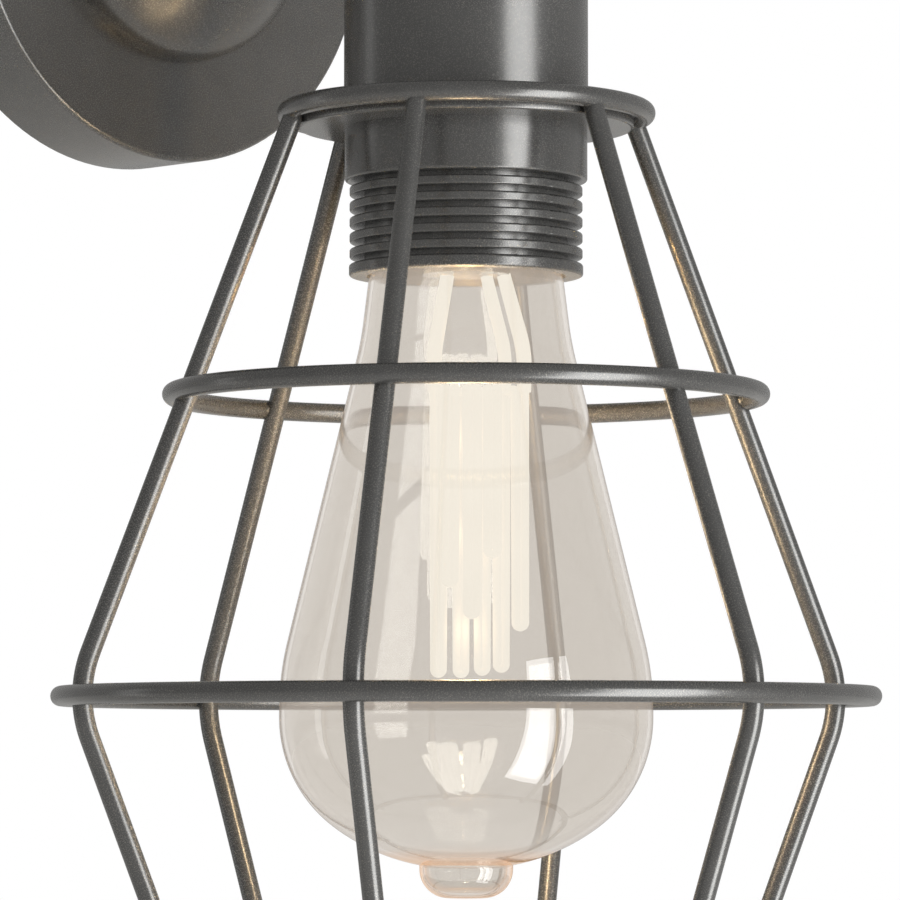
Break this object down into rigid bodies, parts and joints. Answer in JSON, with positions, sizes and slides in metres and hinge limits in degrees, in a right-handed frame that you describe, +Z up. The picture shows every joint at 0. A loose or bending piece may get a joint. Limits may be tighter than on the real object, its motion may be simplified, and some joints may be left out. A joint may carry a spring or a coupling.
{
  "type": "cage wall light",
  "caption": "Wall light with a round canopy, a domed boss and bent arm, a ribbed E27 lampholder and a flared wire cage round a bare ST64 filament bulb.",
  "frame": {"origin": "centre of the canopy's rim on the wall plane", "axes": "+Z up, +Y into the wall, so -Y points into the room; +X to the right for someone who faces the wall. The lamp axis is vertical at y = -94.8 mm"},
  "size_m": [0.1437, 0.1666, 0.2623],
  "materials": {
    "powder_coat": "satin gunmetal powder coat with a fine metallic fleck",
    "zinc_steel": "zinc plated",
    "brass": "plain",
    "cap_metal": "satin",
    "solder": "dull",
    "black_vitrite": "gloss",
    "white_nylon": "matte",
    "porcelain": "glazed",
    "lead_brown": "matte",
    "lead_blue": "matte",
    "clear_glass": "clear",
    "glowing_filament": "glowing"
  },
  "bodies": {
    "fixture": {"wall_bracket": "zinc_steel", "terminal_block": "white_nylon", "terminal_screws": "brass", "block_screw": "zinc_steel", "earth_screw": "zinc_steel", "canopy": "powder_coat", "canopy_screws": "powder_coat", "arm_boss": "powder_coat", "arm": "powder_coat", "arm_washer": "zinc_steel", "arm_nut": "zinc_steel", "live_lead": "lead_brown", "neutral_lead": "lead_blue", "holder_cup": "powder_coat", "nipple_nut": "zinc_steel", "holder_barrel": "powder_coat", "holder_screws": "zinc_steel", "lamp_insert": "porcelain", "insert_terminals": "brass", "screw_shell": "brass", "centre_contact": "brass"},
    "collar": {"clamp_collar": "powder_coat"},
    "cage": {"cage_disc": "powder_coat", "top_ring": "powder_coat", "middle_ring": "powder_coat", "large_ring": "powder_coat", "bottom_ring": "powder_coat", "leg_1": "powder_coat", "leg_2": "powder_coat", "leg_3": "powder_coat", "leg_4": "powder_coat", "leg_5": "powder_coat", "leg_6": "powder_coat"},
    "bulb": {"bulb_glass": "clear_glass", "bulb_cap": "cap_metal", "cap_insulator": "black_vitrite", "cap_contact": "solder", "glass_stem": "clear_glass", "stem_wires": "solder", "filament": "glowing_filament"}
  },
  "joints": [
    {"name": "collar_turn", "type": "hinge", "parent": "fixture", "child": "collar", "pos_m": [0, -0.0948, -0.0538], "axis": [0, 0, -1], "range_deg": [0, 216]},
    {"name": "cage_turn", "type": "hinge", "parent": "fixture", "child": "cage", "pos_m": [0, -0.0948, -0.0482], "axis": [0, 0, 1], "continuous": true},
    {"name": "bulb_out", "type": "slide", "parent": "fixture", "child": "bulb", "axis": [0, 0, -1], "range_m": [0, 0.175]}
  ]
}
